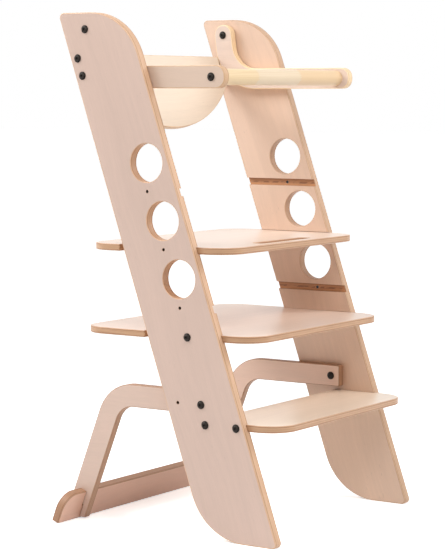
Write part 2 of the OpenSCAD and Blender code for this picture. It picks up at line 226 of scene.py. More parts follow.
def birch_plywood_group():
    """Board X is the face grain, Board Y lies across it and Board Z goes through the plies.

    Cut is the kind of surface: SAWN_EDGE, FACE_VENEER, GROOVE_FLOOR, BORE_WALL (of a small bore) or
    SHADED_RECESS_WALL (of a hole or groove). Each board's own Sheet number gives it a pattern unlike the others.
    """
    tree, given, made = open_group(
        "birch_plywood",
        [
            ("Board", "NodeSocketVector", None),
            ("Facing", "NodeSocketVector", None),
            ("Cut", "NodeSocketFloat", 0.0),
            ("Groove Height", "NodeSocketFloat", 0.0),
            ("Thickness", "NodeSocketFloat", 0.012),
            ("Plies", "NodeSocketFloat", 7.0),
            ("Face Colour", "NodeSocketColor", (0.7, 0.5, 0.4, 1)),
            ("Edge Light", "NodeSocketColor", (0.7, 0.5, 0.3, 1)),
            ("Edge Dark", "NodeSocketColor", (0.3, 0.2, 0.1, 1)),
            ("Sheet", "NodeSocketFloat", 0.0),
        ],
        [("Colour", "NodeSocketColor"), ("Roughness", "NodeSocketFloat"), ("Height", "NodeSocketFloat")],
    )
    x, y, z = split_xyz(tree, given["Board"])
    facing = split_xyz(tree, given["Facing"])
    cut, plies, sheet = given["Cut"], given["Plies"], given["Sheet"]

    # Face veneer: faint clouds, rotary-cut waves, fine fibres and a few short dark flecks
    cloud = streaks(tree, x, y, sheet, along=2.5, across=11.0, detail=2.0)
    fibres = streaks(tree, x, y, sheet, along=45.0, across=1400.0, detail=4.0)
    sway = streaks(tree, x, y, sheet, along=3.0, across=9.0, detail=1.0)
    bent = weighted_sum(tree, [(y, 1.0), (sway, 0.085)])
    waves = streaks(tree, x, bent, sheet, along=1.2, across=120.0, detail=2.0)
    fleck_noise = streaks(tree, x, y, maths(tree, "ADD", sheet, 7.3), along=80.0, across=560.0, detail=1.0)
    patch_noise = streaks(tree, x, y, maths(tree, "ADD", sheet, 3.1), along=9.0, across=22.0, detail=1.0)
    fleck = step_between(tree, fleck_noise, zero_at=0.20, one_at=0.28)
    patch = step_between(tree, patch_noise, zero_at=0.0, one_at=0.2)
    flecks = maths(tree, "MULTIPLY", fleck, patch)
    face_tone = weighted_sum(tree, [
        (cloud, 0.13), (waves, 0.11), (fibres, 0.16), (flecks, -0.22), (1.0, 1.0),
    ])
    face = tree.nodes.new("ShaderNodeHueSaturation")
    set_value(tree, face_tone, face.inputs["Value"])
    tree.links.new(given["Face Colour"], face.inputs["Color"])

    # Sawn edge: the cross plies show end grain, with a dark line under each face veneer and faint glue lines
    depth = maths(tree, "DIVIDE", z, given["Thickness"])
    level = maths(tree, "MULTIPLY_ADD", depth, plies, maths(tree, "MULTIPLY", plies, 0.5))
    ply = maths(tree, "FLOOR", level)
    last_ply = maths(tree, "SUBTRACT", plies, 1.0)
    from_face = maths(tree, "MINIMUM", ply, maths(tree, "SUBTRACT", last_ply, ply))
    veneer = equals(tree, from_face, 0.0)
    plies_deep = maths(tree, "MINIMUM", level, maths(tree, "SUBTRACT", plies, level))
    first_line = step_between(tree, off_from(tree, plies_deep, 1.15), zero_at=0.42, one_at=0.16)
    cross_ply = maths(tree, "MODULO", from_face, 2.0)
    glue = step_between(tree, off_from(tree, maths(tree, "FRACT", level), 0.5), zero_at=0.38, one_at=0.47)
    end_grain = blend_value(tree, cross_ply, squared(tree, facing[0]), squared(tree, facing[1]))
    ply_chance = tree.nodes.new("ShaderNodeTexWhiteNoise")
    ply_chance.noise_dimensions = "1D"
    set_value(tree, maths(tree, "MULTIPLY_ADD", ply, 1.37, sheet), ply_chance.inputs["W"])
    along_edge = weighted_sum(tree, [(x, 1.0), (y, 0.7)])
    pores = streaks(tree, along_edge, z, sheet, along=160.0, across=2600.0, detail=2.0)
    own_row = maths(tree, "MULTIPLY", ply, 3.7)
    patches = streaks(tree, along_edge, own_row, sheet, along=16.0, across=1.0, detail=2.0)
    # Walls inside holes and grooves are painted darker, as painted shade for the hollow they face.
    painted_recess_shade = equals(tree, cut, SHADED_RECESS_WALL)
    edge_tone = weighted_sum(tree, [
        (end_grain, 0.12), (glue, 0.06), (veneer, -0.12), (first_line, 0.75),
        (ply_chance.outputs["Value"], 0.12), (pores, 0.40), (patches, 0.80), (painted_recess_shade, 0.34), (1.0, 0.06),
    ], clamp=True)
    edge = blend_colour(tree, edge_tone, given["Edge Light"], given["Edge Dark"])

    # Groove floor: a cross ply laid bare, painted dark along its top as painted shade under the lip, and torn
    # where the router met a glue line
    height = given["Groove Height"]
    routed = streaks(tree, y, x, sheet, along=26.0, across=700.0, detail=3.0)
    torn_noise = streaks(tree, y, x, sheet, along=45.0, across=160.0, detail=1.0)
    torn = step_between(tree, torn_noise, zero_at=-0.04, one_at=0.05)
    outside_band = step_between(tree, off_from(tree, height, 0.46), zero_at=0.07, one_at=0.16)
    torn_band = maths(tree, "MULTIPLY", torn, maths(tree, "SUBTRACT", 1.0, outside_band))
    painted_shade_under_lip = step_between(tree, height, zero_at=0.80, one_at=0.95)
    lower_part = step_between(tree, height, zero_at=0.38, one_at=0.20)
    floor_tone = weighted_sum(tree, [
        (routed, 0.60), (torn_band, 0.75), (painted_shade_under_lip, 0.45), (lower_part, -0.30), (1.0, 0.30),
    ], clamp=True)
    floor_colour = blend_colour(tree, floor_tone, (*GROOVE_BROWN, 1), given["Edge Dark"])
    # The walls of small bores are painted near black, as painted shade for the deep hole.
    painted_bore_shade_colour = blend_colour(tree, 0.9, given["Edge Dark"], (*PAINTED_BORE_SHADE, 1))

    is_face = equals(tree, cut, FACE_VENEER)
    colour = blend_colour(tree, is_face, edge, face.outputs[0])
    colour = blend_colour(tree, equals(tree, cut, GROOVE_FLOOR), colour, floor_colour)
    colour = blend_colour(tree, equals(tree, cut, BORE_WALL), colour, painted_bore_shade_colour)
    tree.links.new(colour, made["Colour"])

    face_rough = weighted_sum(tree, [(cloud, 0.10), (1.0, 0.40)])
    edge_rough = weighted_sum(tree, [(end_grain, 0.14), (1.0, 0.46)])
    tree.links.new(blend_value(tree, is_face, edge_rough, face_rough), made["Roughness"])
    face_height = maths(tree, "MULTIPLY", fibres, 0.35)
    edge_height = weighted_sum(tree, [(pores, 0.5), (glue, -0.5)])
    tree.links.new(blend_value(tree, is_face, edge_height, face_height), made["Height"])
    return tree


birch_plywood = birch_plywood_group()


def new_material(name):
    material = bpy.data.materials.new(name)
    material.use_nodes = True
    tree = material.node_tree
    return material, tree, tree.nodes["Principled BSDF"], tree.nodes.new("ShaderNodeTexCoord").outputs


def add_group(tree, pattern, values):
    """Places a shared pattern in a material, with the material's own values."""
    group = tree.nodes.new("ShaderNodeGroup")
    group.node_tree = pattern
    for label, value in values.items():
        group.inputs[label].default_value = value
    return group


def finish_surface(tree, shader, colour, roughness, height, strength, depth):
    """Gives the shader what changes over the surface: colour, roughness and a fine relief."""
    bump = tree.nodes.new("ShaderNodeBump")
    bump.inputs["Strength"].default_value = strength
    bump.inputs["Distance"].default_value = depth
    tree.links.new(height, bump.inputs["Height"])
    tree.links.new(colour, shader.inputs["Base Color"])
    tree.links.new(roughness, shader.inputs["Roughness"])
    tree.links.new(bump.outputs[0], shader.inputs["Normal"])


def lacquer(shader, specular, gloss, roughness):
    shader.inputs["Specular IOR Level"].default_value = specular
    shader.inputs["Coat Weight"].default_value = gloss
    shader.inputs["Coat Roughness"].default_value = roughness


def plywood(name, grain, through, middle, thickness, plies, face, edge, sheet, gloss=LACQUER_GLOSS):
    """A plywood board's finish: grain and through are directions, middle is a point halfway through it."""
    grain, through = Vector(grain).normalized(), Vector(through).normalized()
    axes = Matrix((grain, through.cross(grain), through)).transposed()
    material, tree, shader, source = new_material(name)
    group = add_group(tree, birch_plywood, {
        "Thickness": thickness,
        "Plies": plies,
        "Face Colour": (*face, 1),
        "Edge Light": (*edge, 1),
        "Edge Dark": (*(c * share for c, share in zip(edge, END_GRAIN_SHARE)), 1),
        "Sheet": sheet,
    })
    for output, place, label in (("Object", middle, "Board"), ("Normal", (0, 0, 0), "Facing")):
        turn = tree.nodes.new("ShaderNodeMapping")
        turn.vector_type = "TEXTURE"
        turn.inputs["Location"].default_value = place
        turn.inputs["Rotation"].default_value = axes.to_euler()
        tree.links.new(source[output], turn.inputs["Vector"])
        tree.links.new(turn.outputs[0], group.inputs[label])
    for attribute, label in (("cut", "Cut"), ("groove_height", "Groove Height")):
        reading = tree.nodes.new("ShaderNodeAttribute")
        reading.attribute_name = attribute
        tree.links.new(reading.outputs["Fac"], group.inputs[label])
    colour, roughness, height = group.outputs
    finish_surface(tree, shader, colour, roughness, height, GRAIN_STRENGTH, GRAIN_DEPTH)
    lacquer(shader, LACQUER_SPECULAR, gloss, LACQUER_ROUGHNESS)
    return material


def mark_edges_to_ease(solid, middle, through, thickness):
    """Gives the outline the whole rounding, and all other sharp edges a share of it.

    Small bores, groove edges and corners get SHARP_EDGE_SHARE. Loops up to LARGEST_HOLE across, which are the
    grip holes and the ends of the rail, get HOLE_EDGE_SHARE.
    """
    weights = solid.edges.layers.float.new("bevel_weight_edge")
    on_outline = set()
    for edge in solid.edges:
        if len(edge.link_faces) != 2 or edge.calc_face_angle() < SHARP_ANGLE:
            continue
        edge[weights] = SHARP_EDGE_SHARE
        wall, face = sorted(edge.link_faces, key=lambda side: abs(side.normal.dot(through)))
        levels = [(corner.co - middle).dot(through) for corner in wall.verts]
        is_full_depth = max(levels) - min(levels) > FULL_DEPTH_SHARE * thickness
        if abs(face.normal.dot(through)) > SQUARE_ON_COSINE and is_full_depth:
            on_outline.add(edge)
    while on_outline:
        loop, front = set(), [on_outline.pop()]
        while front:
            edge = front.pop()
            loop.add(edge)
            for corner in edge.verts:
                near = [other for other in corner.link_edges if other in on_outline]
                on_outline.difference_update(near)
                front += near
        corners = {corner for edge in loop for corner in edge.verts}
        size = max(max(c.co[i] for c in corners) - min(c.co[i] for c in corners) for i in range(3))
        share = 1.0
        if size < SMALL_BORE:
            share = SHARP_EDGE_SHARE
        elif size < LARGEST_HOLE:
            share = HOLE_EDGE_SHARE
        for edge in loop:
            edge[weights] = share


def kind_of_cut(polygon, solid, middle, through, thickness):
    """What the face is. A wall that has others close before it, three ways, is in a hole or a groove."""
    if abs(polygon.normal.dot(through)) > SQUARE_ON_COSINE:
        depth = thickness / 2 - abs((polygon.center - middle).dot(through))
        return FACE_VENEER if depth < SHALLOWEST_GROOVE else GROOVE_FLOOR
    start = polygon.center + JUST_CLEAR * polygon.normal
    clear = []
    for angle in (-LOOK_ASIDE, 0, LOOK_ASIDE):
        way = Matrix.Rotation(angle, 3, through) @ polygon.normal
        clear.append(solid.ray_cast(start, way, LARGEST_HOLE)[3])
    if None in clear:
        return SAWN_EDGE
    return BORE_WALL if clear[1] < SMALL_BORE else SHADED_RECESS_WALL


def record_cuts(mesh, middle, through, thickness):
    """Writes each face's kind as the attribute cut, and each corner's place in its groove as groove_height.

    Returns the kinds.
    """
    solid = BVHTree.FromPolygons([v.co for v in mesh.vertices], [p.vertices for p in mesh.polygons])
    cuts = [kind_of_cut(polygon, solid, middle, through, thickness) for polygon in mesh.polygons]
    mesh.attributes.new("cut", "FLOAT", "FACE").data.foreach_set("value", cuts)

    floors = [polygon for polygon, cut in zip(mesh.polygons, cuts) if cut == GROOVE_FLOOR]
    on_floors = {i for polygon in floors for i in polygon.vertices}
    levels = sorted({round(mesh.vertices[i].co.z, 5) for i in on_floors})
    heights = [0.0] * len(mesh.vertices)
    for i in on_floors:
        z = mesh.vertices[i].co.z
        groove = [level for level in levels if abs(level - z) < WITHIN_ONE_GROOVE]
        heights[i] = (z - groove[0]) / max(groove[-1] - groove[0], SHALLOWEST_GROOVE)
    mesh.attributes.new("groove_height", "FLOAT", "POINT").data.foreach_set("value", heights)
    return cuts


def set_corner_normals(mesh, cuts):
    """Keeps the faces and groove floors flat, and shades the curved walls and rounded edges smooth."""
    around = [[] for _ in mesh.vertices]
    for polygon in mesh.polygons:
        for corner in polygon.vertices:
            around[corner].append(polygon)
    normals = []
    for polygon, cut in zip(mesh.polygons, cuts):
        own = polygon.normal.copy()
        for corner in polygon.vertices:
            total = own
            if cut not in (FACE_VENEER, GROOVE_FLOOR):
                total = Vector()
                for other in around[corner]:
                    if own.dot(other.normal) > cos(SMOOTH_ANGLE):
                        total += other.area * other.normal
            normals.append(total.normalized())
    mesh.normals_split_custom_set(normals)


def put_in_scene(name, data):
    thing = bpy.data.objects.new(name, data)
    bpy.context.scene.collection.objects.link(thing)
    return thing


def bake_mesh(thing, name):
    """The thing's mesh with its modifier carried out. The thing itself is taken away."""
    mesh = bpy.data.meshes.new_from_object(thing.evaluated_get(bpy.context.evaluated_depsgraph_get()))
    mesh.name = name
    bpy.data.objects.remove(thing)
    return mesh


def eased_board(node, body, material, middle, through, thickness, ease):
    """The node's board with its edges rounded over, as sanding leaves them."""
    middle, through = Vector(middle), Vector(through).normalized()
    mesh = frame["nodes"][node].data.copy()
    solid = bmesh.new()
    solid.from_mesh(mesh)
    bmesh.ops.remove_doubles(solid, verts=solid.verts, dist=MERGE_DISTANCE)
    bmesh.ops.dissolve_limit(solid, angle_limit=FLAT_ANGLE, verts=solid.verts, edges=solid.edges)
    mark_edges_to_ease(solid, middle, through, thickness)
    solid.to_mesh(mesh)
    solid.free()
    sawn = put_in_scene(node + "_sawn", mesh)
    rounding = sawn.modifiers.new("eased edges", "BEVEL")
    rounding.width = ease
    rounding.segments = ROUNDING_STEPS
    rounding.limit_method = "WEIGHT"
    rounding.use_clamp_overlap = False
    rounding.loop_slide = False
    mesh = bake_mesh(sawn, node + "_eased")
    mesh.polygons.foreach_set("use_smooth", [True] * len(mesh.polygons))
    set_corner_normals(mesh, record_cuts(mesh, middle, through, thickness))
    mesh.materials.clear()
    mesh.materials.append(material)
    mesh.polygons.foreach_set("material_index", [0] * len(mesh.polygons))
    board = put_in_scene(node + "_eased", mesh)
    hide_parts(node)
    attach(board, body)


UP_THE_LEAN = (0, sin(PANEL_LEAN), cos(PANEL_LEAN))
for side, sheet in (("left", 1.7), ("right", 5.2)):
    middle = (-PANEL_MIDDLE_X if side == "left" else PANEL_MIDDLE_X, 0, 0)
    panel_ply = plywood(
        side + "_panel_birch", UP_THE_LEAN, (1, 0, 0), middle,
        PANEL_THICKNESS, PANEL_PLIES, PANEL_FACE[side], PANEL_EDGE[side], sheet,
    )
    eased_board(
        side + "_side_panel", "tower", panel_ply,
        middle, (1, 0, 0), PANEL_THICKNESS, PANEL_EDGE_EASE,
    )


# Steps and platform
# Three 12 mm birch plywood boards with rounded corners, paler than the panels and grained across the tower.
# The two lower steps are fixed in their grooves. The platform slides in its own and has a slot for the hand.

STEP_THICKNESS = 0.012
STEP_PLIES = 7
STEP_EDGE_EASE = 0.0015
STEP_EDGE = (0.590, 0.352, 0.200)
# The three boards are one plywood. Their face colours are set apart for the light each gets: the bottom step,
# in the shade of the boards above it, is painted palest, as painted light.
# Board, the body it rides on, the colour of its faces, its sheet number and the gloss of its lacquer
STEP_BOARDS = (
    ("bottom_step", "tower", (0.900, 0.750, 0.603), 8.4, 0.55),
    ("middle_step", "tower", (0.835, 0.662, 0.555), 11.9, 0.42),
    ("platform", "platform", (0.795, 0.618, 0.505), 15.3, 0.55),
)

for node, body, face_colour, sheet, gloss in STEP_BOARDS:
    low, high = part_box(node)
    middle = (0, 0, (low[2] + high[2]) / 2)
    step_ply = plywood(
        node + "_birch", (1, 0, 0), (0, 0, 1), middle,
        STEP_THICKNESS, STEP_PLIES, face_colour, STEP_EDGE, sheet, gloss,
    )
    eased_board(node, body, step_ply, middle, (0, 0, 1), STEP_THICKNESS, STEP_EDGE_EASE)


# Backrest
# A 12 mm birch plywood board with a straight top and one sweeping curve below, grained across the tower.
# It leans with the panels and two bolts a side hold it by inserts in its ends.

BACKREST_THICKNESS = 0.012
BACKREST_PLIES = 7
BACKREST_EDGE_EASE = 0.0015
BACKREST_FACE = (0.795, 0.655, 0.520)
BACKREST_EDGE = (0.760, 0.540, 0.350)
BACKREST_SHEET = 21.6

low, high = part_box("backrest_board")
backrest_through = (0, cos(PANEL_LEAN), -sin(PANEL_LEAN))
backrest_middle = (
    0, high[1] - BACKREST_THICKNESS / 2 * cos(PANEL_LEAN), high[2] - BACKREST_THICKNESS / 2 * sin(PANEL_LEAN),
)
backrest_ply = plywood(
    "backrest_birch", (1, 0, 0), backrest_through, backrest_middle,
    BACKREST_THICKNESS, BACKREST_PLIES, BACKREST_FACE, BACKREST_EDGE, BACKREST_SHEET,
)
eased_board(
    "backrest_board", "tower", backrest_ply,
    backrest_middle, backrest_through, BACKREST_THICKNESS, BACKREST_EDGE_EASE,
)


# Safety bar
# Two J-shaped arms of 15 mm birch plywood carry a turned pine rail, clear lacquered like the boards.
# The rail is finger-jointed from three lengths. One bolt through each arm holds it, and the arms turn on the
# two top pivots.

ARM_THICKNESS = 0.015
ARM_PLIES = 9
ARM_EDGE_EASE = 0.0015
# The right arm's faces and edges are painted lighter than the left's, as painted light for the light that
# falls on it.
ARM_FACE = {"left": (0.690, 0.520, 0.410), "right": (0.770, 0.608, 0.511)}
ARM_EDGE = {"left": (0.690, 0.450, 0.270), "right": (0.960, 0.735, 0.465)}

for side, sheet in (("left", 31.0), ("right", 36.5)):
    low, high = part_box(side + "_bar_arm")
    middle = ((low[0] + high[0]) / 2, 0, 0)
    arm_ply = plywood(
        side + "_arm_birch", (0, 1, 0), (1, 0, 0), middle,
        ARM_THICKNESS, ARM_PLIES, ARM_FACE[side], ARM_EDGE[side], sheet,
    )
    eased_board(
        side + "_bar_arm", "safety_bar", arm_ply,
        middle, (1, 0, 0), ARM_THICKNESS, ARM_EDGE_EASE,
    )

RAIL_EDGE_EASE = 0.0010
RAIL_WOODS = ((0.800, 0.610, 0.370), (0.790, 0.640, 0.460), (0.790, 0.570, 0.345))
RAIL_LATEWOOD = (0.640, 0.400, 0.180)
RAIL_JOINTS = (-0.082, 0.057)
RAIL_PITH = (0.021, -0.034)
PITH_STEP = 0.017
PITH_SWAY = 0.010
FINGER_SLOPE = 3.6
FINGER_WIDTH = 0.0019
RAIL_SPECULAR = 0.35
RAIL_GLOSS = 0.12
RAIL_COAT_ROUGHNESS = 0.25
PINE_STRENGTH = 0.10
PINE_DEPTH = 0.0003


def jointed_pine_group():
    """Solid pine in three lengths along X, each with its rings round a pith of its own beside the rail."""
    tree, given, made = open_group(
        "jointed_pine",
        [
            ("Place", "NodeSocketVector", None),
            ("Pith Y", "NodeSocketFloat", 0.0),
            ("Pith Z", "NodeSocketFloat", 0.0),
            ("First Joint X", "NodeSocketFloat", -0.1),
            ("Second Joint X", "NodeSocketFloat", 0.1),
            ("First Wood", "NodeSocketColor", (0.8, 0.6, 0.4, 1)),
            ("Middle Wood", "NodeSocketColor", (0.8, 0.6, 0.4, 1)),
            ("Last Wood", "NodeSocketColor", (0.8, 0.6, 0.4, 1)),
            ("Late Wood", "NodeSocketColor", (0.6, 0.4, 0.2, 1)),
            ("Rings per Metre", "NodeSocketFloat", 420.0),
        ],
        [("Colour", "NodeSocketColor"), ("Roughness", "NodeSocketFloat"), ("Height", "NodeSocketFloat")],
    )
    x, y, z = split_xyz(tree, given["Place"])

    # Fingers: the border between two lengths runs to and fro along the rail, with a thin line of glue
    zigzag = maths(tree, "PINGPONG", maths(tree, "ADD", y, z), FINGER_WIDTH)
    fingered = maths(tree, "ADD", x, maths(tree, "MULTIPLY", zigzag, FINGER_SLOPE))
    past, glue = [], 0.0
    for joint in (given["First Joint X"], given["Second Joint X"]):
        beyond = maths(tree, "SUBTRACT", fingered, joint)
        past.append(step_between(tree, beyond, zero_at=-0.0001, one_at=0.0001))
        line = step_between(tree, maths(tree, "ABSOLUTE", beyond), zero_at=0.0006, one_at=0.0002)
        glue = maths(tree, "ADD", line, glue)
    wood = blend_colour(tree, past[0], given["First Wood"], given["Middle Wood"])
    wood = blend_colour(tree, past[1], wood, given["Last Wood"])

    # Growth rings: the late wood darkens slowly to the end of each ring and stops short there
    length = maths(tree, "ADD", past[0], past[1])
    sway = streaks(tree, x, y, maths(tree, "MULTIPLY", length, 5.3), along=3.5, across=14.0, detail=2.0)
    off_y = maths(tree, "MULTIPLY_ADD", length, PITH_STEP, maths(tree, "SUBTRACT", y, given["Pith Y"]))
    off_z = maths(tree, "MULTIPLY_ADD", sway, PITH_SWAY, maths(tree, "SUBTRACT", z, given["Pith Z"]))
    reach = maths(tree, "SQRT", maths(tree, "ADD", squared(tree, off_y), squared(tree, off_z)))
    ring = maths(tree, "FRACT", maths(tree, "MULTIPLY", reach, given["Rings per Metre"]))
    darkening = step_between(tree, ring, zero_at=0.35, one_at=0.92)
    late = maths(tree, "MULTIPLY", darkening, step_between(tree, ring, zero_at=1.0, one_at=0.93))
    fibres = streaks(tree, x, maths(tree, "ADD", y, z), 4.0, along=30.0, across=1600.0, detail=3.0)
    tone = weighted_sum(tree, [(late, 0.24), (fibres, 0.22), (glue, 0.22)], clamp=True)
    tree.links.new(blend_colour(tree, tone, wood, given["Late Wood"]), made["Colour"])
    tree.links.new(weighted_sum(tree, [(late, -0.06), (1.0, 0.42)]), made["Roughness"])
    tree.links.new(fibres, made["Height"])
    return tree


def jointed_pine(name, middle):
    material, tree, shader, source = new_material(name)
    group = add_group(tree, jointed_pine_group(), {
        "Pith Y": middle[1] + RAIL_PITH[0],
        "Pith Z": middle[2] + RAIL_PITH[1],
        "First Joint X": RAIL_JOINTS[0],
        "Second Joint X": RAIL_JOINTS[1],
        "First Wood": (*RAIL_WOODS[0], 1),
        "Middle Wood": (*RAIL_WOODS[1], 1),
        "Last Wood": (*RAIL_WOODS[2], 1),
        "Late Wood": (*RAIL_LATEWOOD, 1),
    })
    tree.links.new(source["Object"], group.inputs["Place"])
    colour, roughness, height = group.outputs
    finish_surface(tree, shader, colour, roughness, height, PINE_STRENGTH, PINE_DEPTH)
    lacquer(shader, RAIL_SPECULAR, RAIL_GLOSS, RAIL_COAT_ROUGHNESS)
    return material


low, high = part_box("bar_rail")
rail_middle = tuple((a + b) / 2 for a, b in zip(low, high))
rail_pine = jointed_pine("rail_pine", rail_middle)
eased_board(
    "bar_rail", "safety_bar", rail_pine,
    rail_middle, (1, 0, 0), high[0] - low[0], RAIL_EDGE_EASE,
)


# Leg frame
# Two bent legs of 15 mm birch plywood are cross-halved with a 15 mm foot board that lies on the floor.
# Each leg turns on one pivot in its side panel. The empty hole behind the pivot takes a lock screw.

LEG_THICKNESS = 0.015
LEG_PLIES = 9
LEG_EDGE_EASE = 0.0015
# The right leg's faces are painted lighter than the left's, as painted light.
LEG_FACE = {"left": (0.700, 0.517, 0.424), "right": (0.840, 0.605, 0.485)}
# The edges of the legs and the foot board are painted dark, as painted shade.
SHADED_LEG_AND_FOOT_EDGE = (0.460, 0.260, 0.155)
FOOT_LEAN = radians(21.3)
FOOT_THICKNESS = 0.015
FOOT_PLIES = 9
FOOT_EDGE_EASE = 0.0015
# The foot board's face colour is darker and more orange than the legs': partly its own tone, and partly
# painted shade for the tower's shade over most of its length.
FOOT_FACE = (0.748, 0.460, 0.342)
FOOT_SHEET = 53.0

for side, sheet in (("left", 41.0), ("right", 47.5)):
    low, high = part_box(side + "_rear_leg")
    middle = ((low[0] + high[0]) / 2, 0, 0)
    leg_ply = plywood(
        side + "_leg_birch", (0, 1, 0), (1, 0, 0), middle,
        LEG_THICKNESS, LEG_PLIES, LEG_FACE[side], SHADED_LEG_AND_FOOT_EDGE, sheet,
    )
    eased_board(
        side + "_rear_leg", "rear_legs", leg_ply,
        middle, (1, 0, 0), LEG_THICKNESS, LEG_EDGE_EASE,
    )

low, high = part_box("foot_board")
foot_through = (0, cos(FOOT_LEAN), sin(FOOT_LEAN))
foot_middle = (0, high[1] - FOOT_THICKNESS / 2 * cos(FOOT_LEAN), FOOT_THICKNESS / 2 * sin(FOOT_LEAN))
foot_ply = plywood(
    "foot_board_birch", (1, 0, 0), foot_through, foot_middle,
    FOOT_THICKNESS, FOOT_PLIES, FOOT_FACE, SHADED_LEG_AND_FOOT_EDGE, FOOT_SHEET,
)
eased_board(
    "foot_board", "rear_legs", foot_ply,
    foot_middle, foot_through, FOOT_THICKNESS, FOOT_EDGE_EASE,
)


# Bolts and sleeve nuts
# Black-coated steel furniture bolts with flanged button heads and hexagonal sockets, driven home by hand,
# so their sockets point every way. The pivots have a bolt outside and a sleeve nut with the same head inside.

HEAD_DIAMETER = 0.0144
HEAD_HEIGHT = 0.0033
FLANGE_HEIGHT = 0.3 * HEAD_HEIGHT
FLANGE_EASE = 0.0003
SEAT_EASE = 0.0002
DOME_DIAMETER = 0.78 * HEAD_DIAMETER
DOME_ARC = radians(62)
DOME_RINGS = 7
DOME_POWER = 1.2
DOME_LIP = 0.00005
RIM_SHARE = 1.3
SOCKET_MOUTH_SHARE = 1.06
SOCKET_LIP = 0.00002
SOCKET_EASE = 0.0002
SOCKET_WIDTH = 0.0040
SOCKET_DEPTH = 0.0020
SOCKET_POINT = 0.0003
BOLT_DIAMETER = 0.0060
SLEEVE_DIAMETER = 0.0090
TIP_SHARE = 0.72
TIP_LENGTH_SHARE = 0.04
SIDES = 48
HEAD_SHARP_ANGLE = radians(38)
BLACK_COAT = (0.014, 0.009, 0.006)
RUBBED_COAT = (0.034, 0.024, 0.018)
COAT_SPECULAR = 0.24
COAT_STRENGTH = 0.15
COAT_DEPTH = 0.00005

PANEL_FACE_X = 0.233
ARM_FACE_X = 0.2137
SLEEVE_END_X = 0.2310
SLEEVE_GAP = 0.0003
# Bolts, their body, X of the face under their heads, rows, length of shank and seed of the turning
BOLT_SETS = (
    ("bar_pivot_bolts", "tower", PANEL_FACE_X, 1, 0.0255, 3),
    ("leg_pivot_bolts", "tower", PANEL_FACE_X, 1, 0.0255, 8),
    ("backrest_bolts", "tower", PANEL_FACE_X, 2, 0.0362, 5),
    ("middle_step_bolts", "tower", PANEL_FACE_X, 1, 0.0303, 12),
    ("bottom_step_bolts", "tower", PANEL_FACE_X, 2, 0.0303, 17),
    ("rail_bolts", "safety_bar", ARM_FACE_X, 1, 0.0330, 21),
)
# Sleeve nuts, the thickness of what turns on them and seed of the turning
SLEEVE_SETS = (
    ("bar_pivot_sleeve_nuts", ARM_THICKNESS, 26),
    ("leg_pivot_sleeve_nuts", LEG_THICKNESS, 33),
)


def add_noise(tree, source, scale, detail=2.0):
    noise = tree.nodes.new("ShaderNodeTexNoise")
    noise.inputs["Scale"].default_value = scale
    noise.inputs["Detail"].default_value = detail
    tree.links.new(source["Object"], noise.inputs["Vector"])
    return noise.outputs["Fac"]


def black_steel():
    material, tree, shader, source = new_material("black_coated_steel")
    grit = add_noise(tree, source, 2600.0, 3.0)
    smudge = add_noise(tree, source, 320.0)
    rubbed = step_between(tree, smudge, zero_at=0.45, one_at=0.75)
    coat = blend_colour(tree, rubbed, (*BLACK_COAT, 1), (*RUBBED_COAT, 1))
    roughness = weighted_sum(tree, [(smudge, 0.16), (1.0, 0.36)])
    finish_surface(tree, shader, coat, roughness, grit, COAT_STRENGTH, COAT_DEPTH)
    shader.inputs["Specular IOR Level"].default_value = COAT_SPECULAR
    return material


def bolt_rings(shank_r):
    """The bolt's outline from tip to socket, as rings that each have a form, a radius and a height."""
    head_r, dome_r, socket_r = HEAD_DIAMETER / 2, DOME_DIAMETER / 2, SOCKET_WIDTH / 2
    rim_r = RIM_SHARE * socket_r
    rings = [
        ("round", TIP_SHARE * shank_r, -1.0),
        ("round", shank_r, TIP_LENGTH_SHARE - 1.0),
        ("round", shank_r, 0.0),
        ("round", head_r - SEAT_EASE, 0.0),
        ("round", head_r, SEAT_EASE),
        ("round", head_r, FLANGE_HEIGHT - FLANGE_EASE),
        ("round", head_r - FLANGE_EASE, FLANGE_HEIGHT),
        ("round", dome_r + FLANGE_EASE, FLANGE_HEIGHT + DOME_LIP),
    ]
    for i in range(DOME_RINGS):
        t = i / (DOME_RINGS - 1) * DOME_ARC
        rise = (HEAD_HEIGHT - FLANGE_HEIGHT) * sin(t) / sin(DOME_ARC)
        rings.append(("round", rim_r + (dome_r - rim_r) * cos(t) ** DOME_POWER, FLANGE_HEIGHT + rise))
    rings += [
        ("hex", SOCKET_MOUTH_SHARE * socket_r, HEAD_HEIGHT - SOCKET_LIP),
        ("hex", socket_r, HEAD_HEIGHT - SOCKET_EASE),
        ("hex", socket_r, HEAD_HEIGHT - SOCKET_DEPTH),
    ]
    return rings


def bolt_pattern(shank_diameter, steel):
    """One bolt along +Z with its seat at the origin. Its shank is 1 m long, to be cut to length later."""
    solid = bmesh.new()
    circles = []
    for form, r, z in bolt_rings(shank_diameter / 2):
        circle = []
        for i in range(SIDES):
            a = 2 * pi * i / SIDES
            flat = 1 / cos((a + pi / 6) % (pi / 3) - pi / 6) if form == "hex" else 1
            circle.append(solid.verts.new((r * flat * cos(a), r * flat * sin(a), z)))
        circles.append(circle)
    tip = solid.verts.new((0, 0, -1.0))
    pit = solid.verts.new((0, 0, HEAD_HEIGHT - SOCKET_DEPTH - SOCKET_POINT))
    for i in range(SIDES):
        j = (i + 1) % SIDES
        for low_ring, high_ring in zip(circles, circles[1:]):
            solid.faces.new((low_ring[i], low_ring[j], high_ring[j], high_ring[i]))
        solid.faces.new((circles[0][j], circles[0][i], tip))
        solid.faces.new((circles[-1][i], circles[-1][j], pit))
    bmesh.ops.recalc_face_normals(solid, faces=solid.faces)
    for face in solid.faces:
        face.smooth = True
    mesh = bpy.data.meshes.new("bolt_pattern")
    solid.to_mesh(mesh)
    solid.free()
    mesh.set_sharp_from_angle(angle=HEAD_SHARP_ANGLE)
    mesh.materials.append(steel)
    return put_in_scene("bolt_pattern", mesh)


